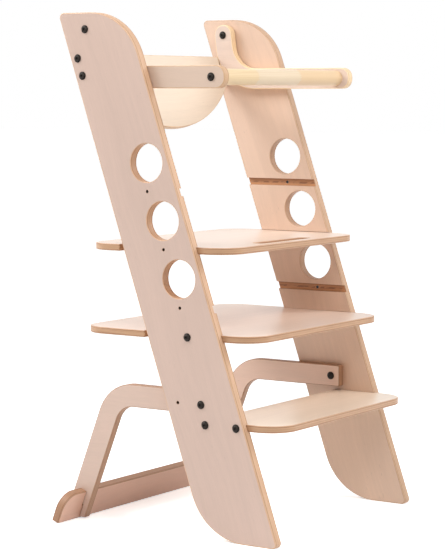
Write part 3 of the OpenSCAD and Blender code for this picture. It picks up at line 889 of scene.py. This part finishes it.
def bolt_setter_tree():
    """Sets the pattern bolt on each point, along its facing, turned by chance and cut to length."""
    tree = bpy.data.node_groups.new("bolt_setter", "GeometryNodeTree")
    tree.is_modifier = True
    for label, kind in (
        ("Places", "Geometry"), ("Pattern", "Object"), ("Shank Length", "Float"), ("Turn Seed", "Int"),
        ("Steel", "Material"),
    ):
        tree.interface.new_socket(name=label, in_out="INPUT", socket_type="NodeSocket" + kind)
    tree.interface.new_socket(name="Bolts", in_out="OUTPUT", socket_type="NodeSocketGeometry")
    new, link = tree.nodes.new, tree.links.new
    given, made = new("NodeGroupInput").outputs, new("NodeGroupOutput").inputs

    # Every point of the shank's far end is moved up until the shank has its length
    pattern = new("GeometryNodeObjectInfo")
    link(given["Pattern"], pattern.inputs["Object"])
    x, y, z = split_xyz(tree, new("GeometryNodeInputPosition").outputs[0])
    at_tip = new("FunctionNodeCompare")
    at_tip.operation = "LESS_THAN"
    link(z, at_tip.inputs[0])
    at_tip.inputs[1].default_value = -0.5
    shortened = new("ShaderNodeCombineXYZ")
    link(x, shortened.inputs[0])
    link(y, shortened.inputs[1])
    link(maths(tree, "MULTIPLY", z, given["Shank Length"]), shortened.inputs[2])
    to_length = new("GeometryNodeSetPosition")
    link(pattern.outputs["Geometry"], to_length.inputs["Geometry"])
    link(at_tip.outputs[0], to_length.inputs["Selection"])
    link(shortened.outputs[0], to_length.inputs["Position"])

    # Each bolt faces the way its point says, and is turned about itself by chance
    facing = new("GeometryNodeInputNamedAttribute")
    facing.data_type = "FLOAT_VECTOR"
    facing.inputs["Name"].default_value = "facing"
    aim = new("FunctionNodeAlignRotationToVector")
    aim.axis = "Z"
    link(facing.outputs["Attribute"], aim.inputs["Vector"])
    chance = new("FunctionNodeRandomValue")
    chance.data_type = "FLOAT"
    chance.inputs[2].default_value = 0.0
    chance.inputs[3].default_value = 2 * pi
    link(given["Turn Seed"], chance.inputs["Seed"])
    twist = new("FunctionNodeAxisAngleToRotation")
    twist.inputs["Axis"].default_value = (0, 0, 1)
    link(chance.outputs[1], twist.inputs["Angle"])
    turned = new("FunctionNodeRotateRotation")
    turned.rotation_space = "LOCAL"
    link(aim.outputs[0], turned.inputs["Rotation"])
    link(twist.outputs[0], turned.inputs["Rotate By"])

    setter = new("GeometryNodeInstanceOnPoints")
    link(given["Places"], setter.inputs["Points"])
    link(to_length.outputs[0], setter.inputs["Instance"])
    link(turned.outputs[0], setter.inputs["Rotation"])
    real = new("GeometryNodeRealizeInstances")
    link(setter.outputs[0], real.inputs[0])
    coated = new("GeometryNodeSetMaterial")
    link(real.outputs[0], coated.inputs["Geometry"])
    link(given["Steel"], coated.inputs["Material"])
    link(coated.outputs[0], made["Bolts"])
    return tree


def set_bolts(node, body, pattern, seats, length, seed):
    """Seats are (x, y, z, way), where way is -1 for a head that faces -X and 1 for one that faces +X."""
    points = bpy.data.meshes.new(node + "_places")
    points.from_pydata([seat[:3] for seat in seats], [], [])
    facing = points.attributes.new("facing", "FLOAT_VECTOR", "POINT")
    for item, seat in zip(facing.data, seats):
        item.vector = (seat[3], 0, 0)
    holder = put_in_scene(node + "_places", points)
    setter = holder.modifiers.new("bolts", "NODES")
    setter.node_group = bolt_setter
    sockets = {item.name: item.identifier for item in bolt_setter.interface.items_tree}
    setter[sockets["Pattern"]] = pattern
    setter[sockets["Shank Length"]] = length
    setter[sockets["Turn Seed"]] = seed
    setter[sockets["Steel"]] = coated_steel
    bolts = put_in_scene(node + "_set", bake_mesh(holder, node + "_set"))
    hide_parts(node)
    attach(bolts, body)


def seats_of(node, face_x, way, rows=1):
    """The two or four seats of a node's mirrored bolts: rows are split evenly over the node's box."""
    low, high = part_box(node)
    r = HEAD_DIAMETER / 2
    seats = []
    for row in range(rows):
        t = row / (rows - 1) if rows > 1 else 0.5
        y = low[1] + r + (high[1] - low[1] - 2 * r) * t
        z = low[2] + r + (high[2] - low[2] - 2 * r) * t
        seats += [(-face_x, y, z, -way), (face_x, y, z, way)]
    return seats


coated_steel = black_steel()
bolt_setter = bolt_setter_tree()
bolt_shape = bolt_pattern(BOLT_DIAMETER, coated_steel)
sleeve_shape = bolt_pattern(SLEEVE_DIAMETER, coated_steel)
for node, body, face_x, rows, length, seed in BOLT_SETS:
    set_bolts(node, body, bolt_shape, seats_of(node, face_x, 1, rows), length, seed)
for node, thickness, seed in SLEEVE_SETS:
    inner_x = ARM_FACE_X - thickness - SLEEVE_GAP
    set_bolts(node, "tower", sleeve_shape, seats_of(node, inner_x, -1), SLEEVE_END_X - inner_x, seed)
bpy.data.objects.remove(bolt_shape)
bpy.data.objects.remove(sleeve_shape)


# Washers and inserts
# Turned nylon washers keep the arms and legs off the panels. The zinc-plated inserts are screwed into the
# board edges and the rail's ends, where they are covered once the tower is put together.

NYLON = (0.80, 0.79, 0.76)
ZINC = (0.60, 0.60, 0.58)
WORN_SHARE = 0.82
TURNED_STRENGTH = 0.10
TURNED_DEPTH = 0.00005


def turned_metal_or_nylon(name, colour, metallic, roughness, scale):
    material, tree, shader, source = new_material(name)
    tone = add_noise(tree, source, scale)
    worn = tuple(WORN_SHARE * c for c in colour)
    shade = blend_colour(tree, tone, (*colour, 1), (*worn, 1))
    rough = weighted_sum(tree, [(tone, 0.15), (1.0, roughness)])
    finish_surface(tree, shader, shade, rough, tone, TURNED_STRENGTH, TURNED_DEPTH)
    shader.inputs["Metallic"].default_value = metallic
    return material


def dress(node, material):
    slots = frame["nodes"][node].data.materials
    slots.clear()
    slots.append(material)


nylon = turned_metal_or_nylon("washer_nylon", NYLON, 0.0, 0.45, 700.0)
zinc = turned_metal_or_nylon("insert_zinc", ZINC, 1.0, 0.30, 900.0)
for node in ("bar_pivot_washers", "leg_pivot_washers"):
    dress(node, nylon)
for node in ("backrest_inserts", "middle_step_inserts", "bottom_step_inserts", "rail_inserts"):
    dress(node, zinc)


# Studio
# A white floor and a white surround that lights nothing by itself, and five large soft lights: one from the
# right front, one from the rear and three from high at the front and left. The camera stands 3.6 m off at
# the left front, about as high as the safety bar.

FLOOR_HALF = 30.0
FLOOR_WHITE = (0.92, 0.92, 0.92)
FLOOR_ROUGHNESS = 0.9
FLOOR_SPECULAR = 0.1
GLOW_FROM = 1.0
GLOW_TO = 4.5
WHITE = (1, 1, 1, 1)
AIM = (0, 0, 0.5)
# Name, place, width, height and power in watts
SOFTBOXES = (
    ("right_front_softbox", (2.2, -2.8, 2.4), 2.0, 1.8, 65),
    ("rear_softbox", (-1.6, 2.6, 2.8), 2.0, 1.8, 106),
    ("left_front_softbox", (-1.6, -1.6, 3.1), 1.8, 1.6, 33),
    ("left_rear_softbox", (-1.8, 0.8, 3.0), 1.8, 1.6, 28),
    ("high_front_softbox", (-0.3, -2.4, 3.2), 1.8, 1.6, 53),
)
CAMERA_PLACE = (-3.0232, -1.9918, 0.7601)
CAMERA_YAW = radians(56.16)
CAMERA_PITCH = radians(4.95)
# The frame, where the lens points in it and the focal length, all in pixels, and the sensor in millimetres
FRAME_WIDTH, FRAME_HEIGHT = 445, 560
LENS_CENTRE_X, LENS_CENTRE_Y = 221.8, 267.0
FOCAL_LENGTH = 2008.2
SENSOR = 36


def seen_directly(tree):
    """1 for what the camera or a reflection sees, 0 for light that falls on the object."""
    path = tree.nodes.new("ShaderNodeLightPath")
    return maths(tree, "MAXIMUM", path.outputs["Is Camera Ray"], path.outputs["Is Glossy Ray"])


def studio_floor():
    mesh = bpy.data.meshes.new("studio_floor")
    corners = [(x * FLOOR_HALF, y * FLOOR_HALF, 0) for x, y in ((-1, -1), (1, -1), (1, 1), (-1, 1))]
    mesh.from_pydata(corners, [], [(0, 1, 2, 3)])
    floor = put_in_scene("studio_floor", mesh)
    material, tree, shader, source = new_material("floor_paper")
    shader.inputs["Base Color"].default_value = (*FLOOR_WHITE, 1)
    shader.inputs["Roughness"].default_value = FLOOR_ROUGHNESS
    shader.inputs["Specular IOR Level"].default_value = FLOOR_SPECULAR
    shader.inputs["Emission Color"].default_value = WHITE
    away = tree.nodes.new("ShaderNodeVectorMath")
    away.operation = "LENGTH"
    tree.links.new(source["Object"], away.inputs[0])
    far_off = step_between(tree, away.outputs["Value"], zero_at=GLOW_FROM, one_at=GLOW_TO)
    glow = weighted_sum(tree, [(far_off, 0.5), (1.0, 0.5)])
    tree.links.new(maths(tree, "MULTIPLY", seen_directly(tree), glow), shader.inputs["Emission Strength"])
    mesh.materials.append(material)
    floor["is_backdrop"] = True

    # The tower is lifted to fold its legs, so the floor keeps to the lowest corner of the foot board
    sole = put_in_scene("foot_board_sole", None)
    low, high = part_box("foot_board")
    sole.location = (0, high[1], 0)
    sole.parent = frame["bodies"]["rear_legs"]
    under = floor.constraints.new("COPY_LOCATION")
    under.target = sole
    under.use_x = under.use_y = False


def studio_surround():
    world = bpy.data.worlds.new("studio_surround")
    bpy.context.scene.world = world
    world.use_nodes = True
    background = world.node_tree.nodes["Background"]
    world.node_tree.links.new(seen_directly(world.node_tree), background.inputs["Strength"])
    background.inputs["Color"].default_value = WHITE


def softbox(name, place, width, height, power):
    lamp = bpy.data.lights.new(name, "AREA")
    lamp.shape = "RECTANGLE"
    lamp.size, lamp.size_y = width, height
    lamp.energy = power
    box = put_in_scene(name, lamp)
    box.location = place
    box.rotation_euler = (Vector(AIM) - Vector(place)).to_track_quat("-Z", "Y").to_euler()


def photo_camera():
    camera = put_in_scene("photo_camera", bpy.data.cameras.new("photo_camera"))
    camera.data.lens = FOCAL_LENGTH / FRAME_HEIGHT * SENSOR
    camera.data.shift_x = (FRAME_WIDTH / 2 - LENS_CENTRE_X) / FRAME_HEIGHT
    camera.data.shift_y = (LENS_CENTRE_Y - FRAME_HEIGHT / 2) / FRAME_HEIGHT
    camera.data.clip_end = 200
    camera.location = CAMERA_PLACE
    level_share = cos(CAMERA_PITCH)
    forward = Vector((sin(CAMERA_YAW) * level_share, cos(CAMERA_YAW) * level_share, -sin(CAMERA_PITCH)))
    camera.rotation_euler = forward.to_track_quat("-Z", "Y").to_euler()
    bpy.context.scene.camera = camera


studio_floor()
studio_surround()
for box in SOFTBOXES:
    softbox(*box)
photo_camera()
bpy.context.scene.view_settings.view_transform = "Standard"

low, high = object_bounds()
